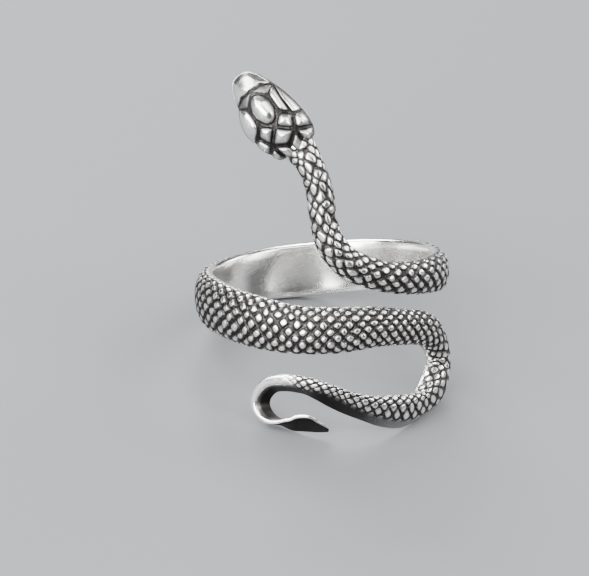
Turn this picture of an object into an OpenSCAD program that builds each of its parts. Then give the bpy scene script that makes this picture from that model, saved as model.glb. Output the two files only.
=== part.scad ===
// Snake wrap ring, cast in one piece. Lengths are in millimetres and angles in degrees.
// It is built round the finger, whose axis is Z with the head's end up and the front at -Y.
// It is then tipped until it rests on its back edge, its side bend and its tail. The origin
// is on the finger's axis, about halfway up the back of the band.

/* [Finger] */
// Radius of the finger hole, about a US size 7
finger_r = 8.65; // [8.4:0.05:9]

/* [Body] */
// Radius at which the snake's path is laid out
path_r = 9.4; // [9.2:0.05:9.8]
// Height of the raised scales above their grooves
scale_relief = 0.18; // [0.1:0.02:0.26]
// Height above the bore at which the body is widest, as a share of its thickness
shoulder = 0.34; // [0.25:0.01:0.45]
// Width of the flat inside, as a share of the body's width
inside_share = 0.8; // [0.7:0.01:0.9]
// The same on the tail, whose sides are upright walls
tail_inside_share = 0.97; // [0.9:0.01:1]
// Height of the ridge along the tail's outer side, as a share of its thickness
ridge_height = 0.8; // [0.6:0.01:0.9]

/* [Head] */
// Place of the nape round the finger, where the flat underside touches it
nape_around = -10; // [-12:0.5:-8]
// Height of the nape along the finger
nape_height = 10.9; // [10.8:0.1:11.2]
// Direction of the snout, leaning left from the finger's axis
head_turn = 37; // [34:1:40]
// Distance from the nape to the centre of the crown shield
head_reach = 4.6; // [4.5:0.1:4.8]
// Height of the crown above the bore
crown = 2; // [1.6:0.05:2.3]
// Height of the jaw line above the bore
jaw = 0.7; // [0.5:0.05:0.9]
// Height of the raised plates above their grooves
plate_relief = 0.22; // [0.1:0.02:0.26]
// Width of the slope from a plate's edge to its top
plate_bevel = 0.28; // [0.15:0.01:0.35]
// Height of the head's underside above the bore
chin = 0.12; // [0.1:0.01:0.2]
// Width of the head's underside, as a share of its outline
chin_share = 0.8; // [0.6:0.05:0.95]

/* [Rest] */
// Lean back of the finger's axis as the ring lies on a table
lean_back = 23.7; // [20:0.1:30]
// Lean to the left of the finger's axis as the ring lies on a table
lean_left = 8.1; // [0:0.1:10]
// Turn about the vertical that brings the snake's front to -Y again
turn = 5; // [0:0.5:10]

/* [Hidden] */

// Columns of the path, from the neck inside the head to the tip of the tail:
// place round the finger, height along it, width, thickness, length of a scale,
// relief of the scales from 0 to 1, height of the inside face above the bore, and slant:
// how far the back lies towards the path's right from the inside face, for each millimetre
// of thickness. The inside face of the band reaches below the bore, which trims it to the
// finger.
PATH = [
    [ -17.0,  12.70, 3.00, 1.20, 0.90, 1.00,  0.35,  0.00],
    [ -11.5,  11.60, 2.70, 1.45, 0.90, 1.00,  0.30,  0.00],
    [  -7.0,  10.60, 2.25, 1.62, 0.95, 1.00,  0.12,  0.00],
    [  -3.7,   9.40, 2.15, 1.65, 1.00, 1.00,  0.05,  0.00],
    [  -1.3,   8.00, 2.25, 1.60, 1.00, 1.00,  0.05,  0.00],
    [   0.1,   6.20, 2.20, 1.60, 1.00, 1.00,  0.05,  0.00],
    [   3.4,   4.30, 2.35, 1.60, 1.00, 1.00,  0.05,  0.00],
    [  11.0,   2.83, 2.45, 1.60, 0.95, 1.00,  0.05,  0.00],
    [  21.0,   2.00, 2.50, 1.55, 0.95, 1.00,  0.00,  0.00],
    [  34.0,   1.40, 2.50, 1.50, 0.95, 1.00, -0.20,  0.00],
    [  50.0,   1.10, 2.70, 1.50, 1.00, 1.00, -0.25,  0.00],
    [  68.0,   1.00, 3.00, 1.50, 1.00, 1.00, -0.25,  0.00],
    [  90.0,   0.80, 3.30, 1.50, 1.00, 1.00, -0.25,  0.00],
    [ 120.0,   0.48, 4.00, 1.50, 1.05, 1.00, -0.25,  0.00],
    [ 150.0,   0.04, 4.40, 1.50, 1.05, 1.00, -0.25,  0.00],
    [ 180.0,  -0.45, 4.50, 1.50, 1.05, 1.00, -0.25,  0.00],
    [ 210.0,  -0.74, 4.38, 1.50, 1.05, 1.00, -0.25,  0.00],
    [ 240.0,  -0.98, 3.95, 1.50, 1.05, 1.00, -0.25,  0.00],
    [ 270.0,  -1.10, 3.90, 1.50, 1.05, 1.00, -0.25,  0.00],
    [ 292.0,  -1.40, 4.20, 1.60, 1.05, 1.00, -0.25,  0.00],
    [ 312.0,  -1.80, 4.20, 1.60, 1.05, 1.00, -0.25,  0.00],
    [ 331.0,  -2.20, 4.10, 1.60, 1.00, 1.00, -0.25,  0.00],
    [ 349.0,  -2.50, 3.80, 1.60, 1.00, 1.00, -0.25,  0.00],
    [ 368.0,  -2.50, 3.60, 1.55, 0.95, 1.00, -0.25,  0.00],
    [ 386.0,  -2.40, 3.20, 1.50, 0.90, 1.00, -0.25,  0.00],
    [ 402.0,  -2.64, 2.90, 1.45, 0.85, 1.00, -0.25,  0.00],
    [ 415.5,  -2.95, 2.80, 1.45, 0.80, 1.00, -0.20,  0.00],
    [ 426.3,  -3.60, 2.80, 1.50, 0.75, 1.00,  0.00,  0.00],
    [ 434.0,  -4.50, 2.90, 1.54, 0.75, 1.00,  0.05,  0.00],
    [ 438.6,  -5.50, 3.00, 1.70, 0.75, 1.00,  0.05,  0.00],
    [ 438.0,  -6.80, 2.85, 1.75, 0.75, 1.00,  0.05,  0.05],
    [ 432.0,  -7.85, 2.85, 1.70, 0.75, 1.00,  0.05,  0.20],
    [ 424.6,  -8.60, 2.60, 1.60, 0.75, 1.00,  0.05,  0.45],
    [ 415.0,  -9.40, 2.20, 1.50, 0.75, 1.00,  0.05,  0.75],
    [ 404.0,  -9.57, 2.35, 1.45, 0.70, 1.00,  0.05,  0.78],
    [ 392.0,  -9.35, 2.15, 1.40, 0.70, 1.00,  0.05,  0.80],
    [ 381.0,  -8.97, 1.60, 1.40, 0.65, 1.00,  0.05,  0.78],
    [ 372.0,  -8.58, 1.25, 1.40, 0.60, 1.00,  0.05,  0.90],
    [ 364.5,  -8.17, 0.97, 1.40, 0.55, 0.95,  0.05,  1.00],
    [ 358.0,  -7.55, 1.10, 1.35, 0.55, 0.85,  0.05,  0.85],
    [ 352.5,  -7.10, 1.20, 1.30, 0.50, 0.60,  0.05,  0.60],
    [ 347.0,  -6.99, 1.05, 1.30, 0.50, 0.30,  0.05,  0.65],
    [ 341.0,  -6.98, 0.95, 1.30, 0.50, 0.05,  0.05,  0.62],
    [ 335.5,  -7.20, 0.76, 1.30, 0.50, 0.00,  0.05,  0.60],
    [ 332.0,  -7.75, 0.60, 1.30, 0.50, 0.00,  0.05,  0.57],
    [ 330.7,  -8.35, 0.48, 1.30, 0.50, 0.00,  0.05,  0.55],
    [ 331.2,  -8.85, 0.46, 1.30, 0.50, 0.00,  0.05,  0.45],
    [ 332.7,  -9.22, 0.46, 1.30, 0.50, 0.00,  0.05,  0.33],
    [ 335.0,  -9.58, 0.50, 1.30, 0.50, 0.00,  0.05,  0.15],
    [ 337.9,  -9.85, 0.50, 1.30, 0.50, 0.00,  0.05, -0.12],
    [ 341.2, -10.10, 0.48, 1.30, 0.50, 0.00,  0.05, -0.50],
    [ 345.2, -10.30, 0.46, 1.30, 0.50, 0.00,  0.05, -0.78],
    [ 349.5, -10.33, 0.42, 1.30, 0.50, 0.00,  0.05, -0.97],
    [ 353.6, -10.38, 0.36, 1.28, 0.50, 0.00,  0.05, -1.00],
    [ 357.0, -10.43, 0.30, 0.98, 0.50, 0.00,  0.05, -0.95],
    [ 360.5, -10.45, 0.24, 0.60, 0.50, 0.00,  0.05, -0.95],
    [ 364.0, -10.48, 0.12, 0.20, 0.50, 0.00,  0.05, -0.95],
];

// Half rows of scales across the back of the body, an even number
ACROSS = 10;
// Points across the inside face
INSIDE = 3;
// Relief of the outermost scales, as a share of the others'
EDGE_RELIEF = 0.4;
// How square the plain tail is in section, from 0 for round
SQUARE_TAIL = 0.45;
// Places in PATH between which the sides turn into walls, and the outer one rises to a ridge
WALL_ROWS = [26, 29];
RIDGE_ROWS = [27, 33];

// Corners of the head's plates: distance from the centre of the crown shield towards the
// snout, and distance to the right and to the left of the head's middle.
HEAD = [
    [ 3.25, -0.08, 0.08], [ 3.10, 0.52, 0.78], [ 2.62, 0.96, 1.20], [ 1.92, 1.30, 1.51],
    [ 1.20, 1.56, 1.75], [ 0.30, 1.87, 2.17], [-0.72, 2.10, 2.40], [-1.72, 2.22, 2.26],
    [-2.50, 2.24, 2.06], [-3.12, 2.12, 1.80], [-3.75, 1.75, 1.45],
    [ 1.65, 0.00, 0.00], [ 0.78, 0.95, 0.95], [-0.76, 0.95, 0.95], [-1.52, 0.00, 0.00],
    [-1.48, 1.64, 1.64], [-2.60, 1.12, 1.12], [-3.30, 0.00, 0.00], [-3.95, 0.95, 0.95],
    [-4.25, 0.00, 0.00],
];
// Plates by their corners in HEAD, all round. Those across the middle list their right half.
MID_PLATES = [
    [11, 4, 3, 2, 1, 0],
    [14, 13, 12, 11],
    [17, 16, 14],
];
SIDE_PLATES = [
    [11, 12, 4],
    [4, 12, 13, 15, 7, 6, 5],
    [13, 14, 16, 15],
    [15, 16, 9, 8, 7],
    [16, 18, 10, 9],
    [17, 19, 18, 16],
];
// The head's outline by its corners in HEAD, from the snout to behind the nape
OUTLINE = [0, 1, 2, 3, 4, 5, 6, 7, 8, 9, 10, 18, 19];
// The last corner of HEAD's outer edge, and how much lower the snout and nape are than the crown
NAPE = 10;
SNOUT_DROP = 0.75;
NAPE_DROP = 0.35;

// A row of the path at any place along it, on a smooth curve through the rows
function blend4(a, b, c, d, f) =
    (2 * b + (c - a) * f + (2 * a - 5 * b + 4 * c - d) * f * f
    + (3 * b - a - 3 * c + d) * f * f * f) / 2;
function path_row(t) =
    let (k = min(max(floor(t), 0), len(PATH) - 2), last = len(PATH) - 1)
    blend4(PATH[max(k - 1, 0)], PATH[k], PATH[k + 1], PATH[min(k + 2, last)], t - k);

// A place laid out flat, as distance round the finger and height along it
function flat(row) = [row[0] * PI / 180 * path_r, row[1]];
// Direction and speed of the path in that flat layout
function heading(t) = (flat(path_row(t + 0.01)) - flat(path_row(t - 0.01))) / 0.02;

// The point of the flat layout at a height above the bore, wrapped round the finger
function wrap(place, above) =
    let (a = place[0] / path_r * 180 / PI, r = finger_r + above)
    [r * sin(a), -r * cos(a), place[1]];

// A point of a section, by its place across the body, with the slant of the path's row
function across(row, side, offset, above) =
    wrap(flat(row) + side * (offset - row[7] * (above - max(0, row[6]))), above);

// A share that eases from 0 to 1 along the given places in PATH
function ease(t, places) =
    let (f = min(1, max(0, (t - places[0]) / (places[1] - places[0])))) f * f * (3 - 2 * f);

// Places of the rings along the path, half a scale apart
RINGS = [for (t = 0; t < len(PATH) - 1; t = t + path_row(t)[4] / 2 / norm(heading(t))) t];

// The points round one section: the scaled back, then the plain inside
function section(i) =
    let (
        row = path_row(RINGS[i]),
        dir = heading(RINGS[i]) / norm(heading(RINGS[i])),
        side = [-dir[1], dir[0]],
        half = row[2] / 2,
        ridge = shoulder + (ridge_height - shoulder) * ease(RINGS[i], RIDGE_ROWS),
        inside = inside_share + (tail_inside_share - inside_share) * ease(RINGS[i], WALL_ROWS),
        plain = 1 - min(1, max(0, row[5]))
    )
    concat(
        [for (j = [0:ACROSS])
            let (
                around = 180 * j / ACROSS - 90,
                edge = j == 0 || j == ACROSS ? EDGE_RELIEF : 1,
                drop = (i + j) % 2 == 0 ? 0 : scale_relief * row[5] * edge,
                offset = sign(around) * pow(abs(sin(around)), 1 - plain * SQUARE_TAIL),
                wide = row[3] * (around > 0 ? ridge : shoulder),
                above = wide + (row[3] - drop - wide) * pow(cos(around), 0.9 - plain * SQUARE_TAIL)
            )
            across(row, side, offset * (half - drop), above)],
        [for (j = [1:INSIDE])
            across(row, side, half * inside * (1 - 2 * (j - 1) / (INSIDE - 1)), row[6])]
    );

// The two triangles between neighbouring points of two rings, split along the groove
function two(a, b, c, d, along) = along ? [[a, b, c], [a, c, d]] : [[a, b, d], [b, c, d]];

module body() {
    n = ACROSS + 1 + INSIDE;
    rings = len(RINGS);
    points = [for (i = [0:rings - 1]) each section(i)];
    ends = [for (i = [0, rings - 1])
        let (s = section(i)) [for (k = [0:2]) [for (p = s) p[k]] * [for (p = s) 1] / n]];
    sides = [for (i = [0:rings - 2], j = [0:n - 1])
        let (k = (j + 1) % n)
        each two(i * n + j, i * n + k, (i + 1) * n + k, (i + 1) * n + j, (i + j) % 2 == 1)];
    caps = [for (j = [0:n - 1])
        let (k = (j + 1) % n, last = (rings - 1) * n)
        each [[rings * n, k, j], [rings * n + 1, last + j, last + k]]];
    polyhedron(concat(points, ends), concat(sides, caps));
}

// Height of the head above the bore at a place on it, without its plates
function dome(p) =
    let (
        half = lookup(p[0], [for (i = [0:NAPE]) [HEAD[i][0], HEAD[i][p[1] < 0 ? 2 : 1]]]),
        across = min(1, abs(p[1]) / max(half, 0.01)),
        top = crown - SNOUT_DROP * pow(max(0, p[0]) / HEAD[0][0], 2)
            - NAPE_DROP * pow(min(0, p[0]) / HEAD[NAPE][0], 2)
    )
    jaw + (top - jaw) * pow(1 - across * across, 0.6);

// A place on the head, at a height above the plane that touches the bore at the nape
function on_head(p, above) =
    let (
        out = [sin(nape_around), -cos(nape_around), 0],
        right = [cos(nape_around), sin(nape_around), 0],
        up = [0, 0, 1]
    )
    (finger_r + above) * out + nape_height * up
    + (head_reach + p[0]) * (cos(head_turn) * up - sin(head_turn) * right)
    + p[1] * (cos(head_turn) * right + sin(head_turn) * up);

// A corner by its number, on the head's right side or its middle, and one on its left side
function right_corner(i) = [HEAD[i][0], HEAD[i][1]];
function left_corner(i) = [HEAD[i][0], -HEAD[i][2]];
function reversed(list) = [for (i = [len(list) - 1:-1:0]) list[i]];
function middle(list) = [for (k = [0, 1]) [for (p = list) p[k]] * [for (p = list) 1] / len(list)];
// The corners by number, followed by those of the left half where the row crosses the middle
function both_halves(ids) =
    concat([for (i = ids) right_corner(i)],
           reversed([for (i = ids) if (HEAD[i][1] > 0) left_corner(i)]));

PLATES = concat(
    [for (ids = MID_PLATES) both_halves(ids)],
    [for (ids = SIDE_PLATES) [for (i = ids) right_corner(i)]],
    [for (ids = SIDE_PLATES) reversed([for (i = ids) left_corner(i)])]
);

// A corner moved in from its plate's edge towards the plate's middle
function inset(p, centre) =
    p + (centre - p) * min(0.45, plate_bevel / norm(centre - p));

// A raised plate as triangles: a slope all round and a fan over the top
function plate_faces(corners) =
    let (n = len(corners), centre = middle(corners))
    [for (i = [0:n - 1])
        let (
            p = corners[i],
            q = corners[(i + 1) % n],
            low_p = on_head(p, dome(p)),
            low_q = on_head(q, dome(q)),
            in_p = inset(p, centre),
            in_q = inset(q, centre),
            high_p = on_head(in_p, dome(in_p) + plate_relief),
            high_q = on_head(in_q, dome(in_q) + plate_relief)
        )
        each [[low_q, low_p, high_p], [low_q, high_p, high_q],
              [high_q, high_p, on_head(centre, dome(centre) + plate_relief)]]];

// The sides of the head below its jaw line, and its underside
function chin_faces(corners) =
    let (n = len(corners))
    [for (i = [0:n - 1])
        let (
            p = corners[i],
            q = corners[(i + 1) % n],
            top_p = on_head(p, dome(p)),
            top_q = on_head(q, dome(q)),
            low_p = on_head(p * chin_share, chin),
            low_q = on_head(q * chin_share, chin)
        )
        each [[top_q, top_p, low_p], [top_q, low_p, low_q], [low_q, low_p, on_head([0, 0], chin)]]];

module head() {
    faces = concat([for (corners = PLATES) each plate_faces(corners)],
                   chin_faces(both_halves(OUTLINE)));
    polyhedron([for (f = faces) each f], [for (i = [0:len(faces) - 1]) [3 * i, 3 * i + 1, 3 * i + 2]]);
}

module snake_ring() {
    color("silver")
        rotate([-lean_back, -lean_left, turn])
            difference() {
                union() {
                    body();
                    head();
                }
                cylinder(h = 60, r = finger_r, center = true, $fn = 180);
            }
}

snake_ring();
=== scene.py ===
"""Snake wrap ring: one casting of silver, darkened in its grooves and polished on its high spots.

Sizes in the classes are millimetres and degrees. Shapes are laid out round the finger, whose axis
is Z with the front at -Y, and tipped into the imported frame, in metres, when a piece is made.
"""
import logging
import math
from dataclasses import dataclass, field
from enum import Enum
from typing import Sequence

import bpy
import numpy as np
from mathutils import Matrix, Vector


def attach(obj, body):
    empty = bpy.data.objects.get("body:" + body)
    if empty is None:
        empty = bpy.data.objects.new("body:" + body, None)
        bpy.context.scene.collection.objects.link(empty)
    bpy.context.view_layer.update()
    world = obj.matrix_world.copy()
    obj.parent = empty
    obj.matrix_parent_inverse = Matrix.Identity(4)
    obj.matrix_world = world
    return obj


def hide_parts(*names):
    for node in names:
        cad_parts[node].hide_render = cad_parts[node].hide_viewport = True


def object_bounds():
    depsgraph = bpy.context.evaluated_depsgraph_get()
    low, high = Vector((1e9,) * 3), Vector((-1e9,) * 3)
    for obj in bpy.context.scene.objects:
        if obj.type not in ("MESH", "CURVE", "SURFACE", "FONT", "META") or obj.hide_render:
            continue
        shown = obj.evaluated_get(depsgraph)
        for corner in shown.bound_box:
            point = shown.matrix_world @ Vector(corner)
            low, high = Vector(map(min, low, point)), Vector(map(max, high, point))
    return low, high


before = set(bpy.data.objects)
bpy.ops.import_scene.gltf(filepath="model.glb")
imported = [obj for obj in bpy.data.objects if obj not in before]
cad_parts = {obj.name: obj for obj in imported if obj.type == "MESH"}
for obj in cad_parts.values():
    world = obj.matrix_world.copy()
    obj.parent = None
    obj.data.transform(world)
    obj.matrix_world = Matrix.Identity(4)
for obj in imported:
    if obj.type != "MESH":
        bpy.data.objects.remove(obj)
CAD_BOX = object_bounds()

log = logging.getLogger("snake_ring")

MM = 0.001
NODE = "snake_ring"
BODY = "root"
OXIDE_AND_SHADE = "groove"
INSIDE = "inside"

Value = float | np.ndarray


def smoothstep(x: np.ndarray, low: float, high: float) -> np.ndarray:
    """A value that eases from 0 at low to 1 at high.

    Args:
        x: Where to read the value.
        low: End of the zeros.
        high: Start of the ones.

    Returns:
        The eased values.
    """
    t = np.clip((x - low) / (high - low), 0.0, 1.0)
    return t * t * (3.0 - 2.0 * t)


def blend(first: Value, second: Value, share: Value) -> Value:
    """A value led from the first to the second as the share goes from 0 to 1."""
    return first + (second - first) * share


def spline(rows: np.ndarray, t: np.ndarray) -> np.ndarray:
    """Rows of a table at any place along it, on a smooth curve through the rows.

    Args:
        rows: The table, one row for each whole number of t.
        t: Places along the table.

    Returns:
        One blended row for each place.
    """
    last = len(rows) - 1
    k = np.clip(np.floor(t).astype(int), 0, last - 1)
    f = (t - k)[:, None]
    a, b = rows[np.maximum(k - 1, 0)], rows[k]
    c, d = rows[k + 1], rows[np.minimum(k + 2, last)]
    return (2 * b + (c - a) * f + (2 * a - 5 * b + 4 * c - d) * f**2
            + (3 * b - a - 3 * c + d) * f**3) / 2


@dataclass(frozen=True)
class Finger:
    """The finger that the ring is built round, and how the ring lies on the table."""

    hole_r: float = 8.65
    path_r: float = 9.4
    lean_back: float = 23.7
    lean_left: float = 8.1
    turn: float = 5.0

    def to_row(self) -> np.ndarray:
        """Works out how the finger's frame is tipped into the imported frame.

        Returns:
            The 3 x 3 matrix.
        """
        back, left, turn = (math.radians(a) for a in (-self.lean_back, -self.lean_left, self.turn))
        tip = (Matrix.Rotation(turn, 3, "Z") @ Matrix.Rotation(left, 3, "Y")
               @ Matrix.Rotation(back, 3, "X"))
        return np.array(tip)

    def wrap(self, along: np.ndarray, up: np.ndarray, above: np.ndarray) -> np.ndarray:
        """Places of a flat layout, wrapped round the finger.

        Args:
            along: Distance round the finger at the path's radius.
            up: Height along the finger.
            above: Height above the hole's wall.

        Returns:
            Points in the finger's frame, in millimetres.
        """
        angle = along / self.path_r
        r = self.hole_r + above
        return np.stack([r * np.sin(angle), -r * np.cos(angle), up], axis=-1)


def add_object(name: str, data: bpy.types.ID) -> bpy.types.Object:
    """Makes an object of a mesh, a light or a camera, and links it to the scene.

    Args:
        name: Name of the object.
        data: What it shows.

    Returns:
        The new object.
    """
    thing = bpy.data.objects.new(name, data)
    bpy.context.scene.collection.objects.link(thing)
    return thing


def make_piece(name: str, points: np.ndarray, faces: np.ndarray, finger: Finger,
               masks: dict[str, np.ndarray], material: bpy.types.Material) -> bpy.types.Object:
    """A smooth shaded piece of the ring, riding on the casting's body.

    Args:
        name: Name of the piece.
        points: Its points in the finger's frame, in millimetres.
        faces: Its triangles, anticlockwise seen from outside.
        finger: The finger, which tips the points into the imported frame.
        masks: Values from 0 to 1 at every point, by name, for the material.
        material: The finish.

    Returns:
        The new object.
    """
    placed = points @ finger.to_row().T * MM
    mesh = bpy.data.meshes.new(name)
    mesh.from_pydata(placed.tolist(), [], faces.tolist())
    for mask, values in masks.items():
        layer = mesh.attributes.new(mask, "FLOAT", "POINT")
        layer.data.foreach_set("value", np.ascontiguousarray(values, dtype=np.float32))
    mesh.materials.append(material)
    mesh.shade_smooth()
    piece = add_object(name, mesh)
    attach(piece, BODY)
    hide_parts(NODE)
    log.info("%s: %d triangles", name, len(faces))
    return piece


@dataclass(frozen=True)
class Wave:
    """A slow wave over the scales' lattice, which itself bends as a second wave passes."""

    along: float
    across: float
    swing: float
    bend_along: float
    bend_across: float

    def at(self, along: np.ndarray, across: np.ndarray) -> np.ndarray:
        """The wave's value from -1 to 1, at places in half scales and half rows."""
        bend = np.sin(self.bend_along * along + self.bend_across * across)
        return np.sin(self.along * along + self.across * across + self.swing * bend)


@dataclass(frozen=True)
class ScaleForm:
    """One scale: how much of its diamond it fills, how square and how domed it is."""

    fill: float = 0.81
    thin_fill: float = 0.92
    squareness: float = 3.2
    dome: float = 4.0
    depth: float = 0.20
    thin_depth: float = 0.13
    unevenness: float = 0.10
    tilt: float = 0.16
    wander: float = 0.09
    loose_wander: float = 0.24
    clean: float = 0.46
    black: float = 0.15
    sway: Wave = Wave(1.3, 0.9, 2.0, 0.37, -0.61)
    swell: Wave = Wave(0.8, -1.5, 1.7, 0.53, 0.29)
    numbers: int = 4096
    number_steps: tuple[int, int] = (31, 17)

    def drop(self, along: np.ndarray, across: np.ndarray, thin: np.ndarray, loose: np.ndarray,
             seed: int) -> tuple[np.ndarray, np.ndarray]:
        """Depth below the scales' tops in millimetres, and where the blackening stays.

        Args:
            along: Place along the body, in half scales.
            across: Place across the body, in half rows.
            thin: How thin and shallow the grooves are there, from 0 to 1.
            loose: How unevenly the scales are laid there, from 0 to 1.
            seed: Seed of the scales' own small differences.

        Returns:
            The drop, about 0 on a scale, and the groove mask.
        """
        sway, swell = self.sway.at(along, across), self.swell.at(along, across)
        wander = blend(self.wander, self.loose_wander, loose)
        p = (along + across + wander * (sway + swell)) / 2
        q = (along - across + wander * (sway - swell)) / 2
        dp, dq = p - np.round(p), q - np.round(q)
        power = self.squareness
        out = ((2 * np.abs(dp)) ** power + (2 * np.abs(dq)) ** power) ** (1 / power)
        step_p, step_q = self.number_steps
        number = (np.round(p) * step_p + np.round(q) * step_q).astype(int) % self.numbers
        chance = np.random.default_rng(seed).uniform(-1, 1, (3, self.numbers))
        tall, lean_p, lean_q = chance[:, number]
        fill = blend(self.fill, self.thin_fill, thin)
        height = np.sqrt(1.0 - np.clip(out / fill, 0.0, 1.0) ** self.dome)
        lean = 2 * self.tilt * (lean_p * dp + lean_q * dq)
        drop = 1 - height * (1 + self.unevenness * (tall - 1) / 2 + lean)
        depth = blend(self.depth, self.thin_depth, thin)
        return depth * drop, smoothstep(out - fill, -self.clean, -self.black)


# Columns of the path, from the neck inside the head to the tip of the tail: degrees round the
# finger, height along it, width, thickness, length of a scale, relief of the scales from 0 to 1,
# height of the inside face above the hole's wall, and slant: how far the back lies towards the
# path's right from the inside face, for each millimetre of thickness.
AROUND, UP, WIDTH, THICKNESS, SCALE, RELIEF, SEAT, SLANT = range(8)
PATH = (
    (-17.0, 12.7, 3.0, 1.2, 0.9, 1.0, 0.35, 0.0),
    (-11.5, 11.6, 2.7, 1.45, 0.9, 1.0, 0.3, 0.0),
    (-7.0, 10.6, 2.25, 1.62, 0.95, 1.0, 0.12, 0.0),
    (-3.7, 9.4, 2.15, 1.65, 1.0, 1.0, 0.05, 0.0),
    (-1.3, 8.0, 2.25, 1.6, 1.0, 1.0, 0.05, 0.0),
    (0.1, 6.2, 2.2, 1.6, 1.0, 1.0, 0.05, 0.0),
    (3.4, 4.3, 2.35, 1.6, 1.0, 1.0, 0.05, 0.0),
    (11.0, 2.83, 2.45, 1.6, 0.95, 1.0, 0.05, 0.0),
    (21.0, 2.0, 2.5, 1.55, 0.95, 1.0, 0.0, 0.0),
    (34.0, 1.4, 2.5, 1.5, 0.95, 1.0, -0.2, 0.0),
    (50.0, 1.1, 2.7, 1.5, 1.0, 1.0, -0.25, 0.0),
    (68.0, 1.0, 3.0, 1.5, 1.0, 1.0, -0.25, 0.0),
    (90.0, 0.8, 3.3, 1.5, 1.0, 1.0, -0.25, 0.0),
    (120.0, 0.48, 4.0, 1.5, 1.05, 1.0, -0.25, 0.0),
    (150.0, 0.04, 4.4, 1.5, 1.05, 1.0, -0.25, 0.0),
    (180.0, -0.45, 4.5, 1.5, 1.05, 1.0, -0.25, 0.0),
    (210.0, -0.74, 4.38, 1.5, 1.05, 1.0, -0.25, 0.0),
    (240.0, -0.98, 3.95, 1.5, 1.05, 1.0, -0.25, 0.0),
    (270.0, -1.1, 3.9, 1.5, 1.05, 1.0, -0.25, 0.0),
    (292.0, -1.4, 4.2, 1.6, 1.05, 1.0, -0.25, 0.0),
    (312.0, -1.8, 4.2, 1.6, 1.05, 1.0, -0.25, 0.0),
    (331.0, -2.2, 4.1, 1.6, 1.0, 1.0, -0.25, 0.0),
    (349.0, -2.5, 3.8, 1.6, 1.0, 1.0, -0.25, 0.0),
    (368.0, -2.5, 3.6, 1.55, 0.95, 1.0, -0.25, 0.0),
    (386.0, -2.4, 3.2, 1.5, 0.9, 1.0, -0.25, 0.0),
    (402.0, -2.64, 2.9, 1.45, 0.85, 1.0, -0.25, 0.0),
    (415.5, -2.95, 2.8, 1.45, 0.8, 1.0, -0.2, 0.0),
    (426.3, -3.6, 2.8, 1.5, 0.75, 1.0, 0.0, 0.0),
    (434.0, -4.5, 2.9, 1.54, 0.75, 1.0, 0.05, 0.0),
    (438.6, -5.5, 3.0, 1.7, 0.75, 1.0, 0.05, 0.0),
    (438.0, -6.8, 2.85, 1.75, 0.75, 1.0, 0.05, 0.05),
    (432.0, -7.85, 2.85, 1.7, 0.75, 1.0, 0.05, 0.2),
    (424.6, -8.6, 2.6, 1.6, 0.75, 1.0, 0.05, 0.45),
    (415.0, -9.4, 2.2, 1.5, 0.75, 1.0, 0.05, 0.75),
    (404.0, -9.57, 2.35, 1.45, 0.7, 1.0, 0.05, 0.78),
    (392.0, -9.35, 2.15, 1.4, 0.7, 1.0, 0.05, 0.8),
    (381.0, -8.97, 1.6, 1.4, 0.65, 1.0, 0.05, 0.78),
    (372.0, -8.58, 1.25, 1.4, 0.6, 1.0, 0.05, 0.9),
    (364.5, -8.17, 0.97, 1.4, 0.55, 0.95, 0.05, 1.0),
    (358.0, -7.55, 1.1, 1.35, 0.55, 0.85, 0.05, 0.85),
    (352.5, -7.1, 1.2, 1.3, 0.5, 0.6, 0.05, 0.6),
    (347.0, -6.99, 1.05, 1.3, 0.5, 0.3, 0.05, 0.65),
    (341.0, -6.98, 0.95, 1.3, 0.5, 0.05, 0.05, 0.62),
    (335.5, -7.2, 0.76, 1.3, 0.5, 0.0, 0.05, 0.6),
    (332.0, -7.75, 0.6, 1.3, 0.5, 0.0, 0.05, 0.57),
    (330.7, -8.35, 0.48, 1.3, 0.5, 0.0, 0.05, 0.55),
    (331.2, -8.85, 0.46, 1.3, 0.5, 0.0, 0.05, 0.45),
    (332.7, -9.22, 0.46, 1.3, 0.5, 0.0, 0.05, 0.33),
    (335.0, -9.58, 0.5, 1.3, 0.5, 0.0, 0.05, 0.15),
    (337.9, -9.85, 0.5, 1.3, 0.5, 0.0, 0.05, -0.12),
    (341.2, -10.1, 0.48, 1.3, 0.5, 0.0, 0.05, -0.5),
    (345.2, -10.3, 0.46, 1.3, 0.5, 0.0, 0.05, -0.78),
    (349.5, -10.33, 0.42, 1.3, 0.5, 0.0, 0.05, -0.97),
    (353.6, -10.38, 0.36, 1.28, 0.5, 0.0, 0.05, -1.0),
    (357.0, -10.43, 0.3, 0.98, 0.5, 0.0, 0.05, -0.95),
    (360.5, -10.45, 0.24, 0.6, 0.5, 0.0, 0.05, -0.95),
    (364.0, -10.48, 0.12, 0.2, 0.5, 0.0, 0.05, -0.95),
)


@dataclass(frozen=True)
class Sections:
    """The sections along the path, a column for each of their sizes.

    They are half of the width, the thickness, the scales' relief, the height of the inside face
    and the slant; then how far the ridge has risen and how far the inside has turned into a wall,
    both from 0 to 1, and the heights of the inner and the outer shoulder.
    """

    half: np.ndarray
    thick: np.ndarray
    relief: np.ndarray
    seat: np.ndarray
    slant: np.ndarray
    rise: np.ndarray
    walled: np.ndarray
    low: np.ndarray
    high: np.ndarray


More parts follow.
